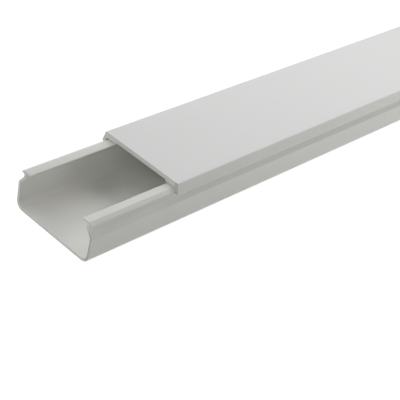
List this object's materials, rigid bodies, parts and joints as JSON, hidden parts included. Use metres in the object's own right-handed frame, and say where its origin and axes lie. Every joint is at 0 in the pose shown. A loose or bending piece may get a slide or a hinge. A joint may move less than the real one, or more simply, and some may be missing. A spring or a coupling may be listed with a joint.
{
  "type": "cord cover raceway",
  "caption": "Self-adhesive cable raceway: a rigid plastic channel that sticks to a wall and holds cords under a clip-on lid that also slides.",
  "frame": {"origin": "middle of the stick-on back, on the outer face of the release liner", "axes": "+X along the raceway, from the end where the channel is open towards the end that the lid runs past; +Y across it; +Z from the back towards the lid"},
  "size_m": [0.44, 0.0414, 0.0205],
  "materials": {
    "channel_pvc": "satin, as extruded",
    "lid_pvc": "satin, as extruded",
    "tape": "matt adhesive on a thin carrier",
    "liner": "siliconed release film, low gloss"
  },
  "bodies": {
    "channel": {"base_channel": "channel_pvc", "adhesive_tape": "tape", "release_liner": "liner"},
    "lid": {"cover_lid": "lid_pvc"}
  },
  "joints": [
    {"name": "lid_slide", "type": "slide", "parent": "channel", "child": "lid", "axis": [1, 0, 0], "range_m": [-0.42, 0.34]}
  ]
}
